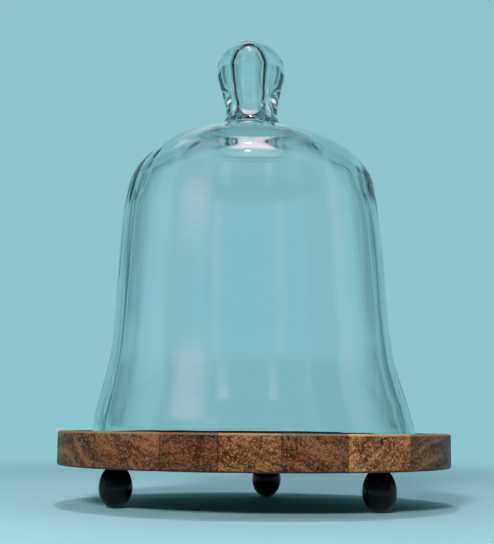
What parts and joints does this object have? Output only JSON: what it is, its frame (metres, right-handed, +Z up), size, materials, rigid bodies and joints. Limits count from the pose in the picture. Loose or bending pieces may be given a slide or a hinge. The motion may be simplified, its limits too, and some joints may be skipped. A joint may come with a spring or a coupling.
{
  "type": "bell jar dome",
  "caption": "Flared blown-glass bell dome with a fused hollow knob, standing in the recess of a round glued-up wooden board on ball feet.",
  "frame": {"origin": "on the surface the feet stand on, below the centre of the round board", "axes": "+Z up along the axis of the glass dome; -Y is the front, with a foot to the left and a foot to the right; the staves run along Y"},
  "size_m": [0.254, 0.254, 0.3125],
  "materials": {
    "clear_glass": "clear polished",
    "acacia_tan": "oiled satin",
    "acacia_brown": "oiled satin",
    "acacia_dark": "oiled satin",
    "black_satin_wood": "black satin lacquer",
    "zinc_steel": "zinc plated"
  },
  "bodies": {
    "base": {"board_stave_1": "acacia_tan", "board_stave_2": "acacia_tan", "board_stave_3": "acacia_dark", "board_stave_4": "acacia_brown", "board_stave_5": "acacia_dark", "board_stave_6": "acacia_tan", "board_stave_7": "acacia_brown", "ball_foot_front_left": "black_satin_wood", "ball_foot_front_right": "black_satin_wood", "ball_foot_back": "black_satin_wood", "dowel_screw_front_left": "zinc_steel", "dowel_screw_front_right": "zinc_steel", "dowel_screw_back": "zinc_steel"},
    "cloche": {"glass_cloche": "clear_glass"}
  },
  "joints": [
    {"name": "cloche_lift", "type": "slide", "parent": "base", "child": "cloche", "axis": [0, 0, 1], "range_m": [0, 0.28]}
  ]
}
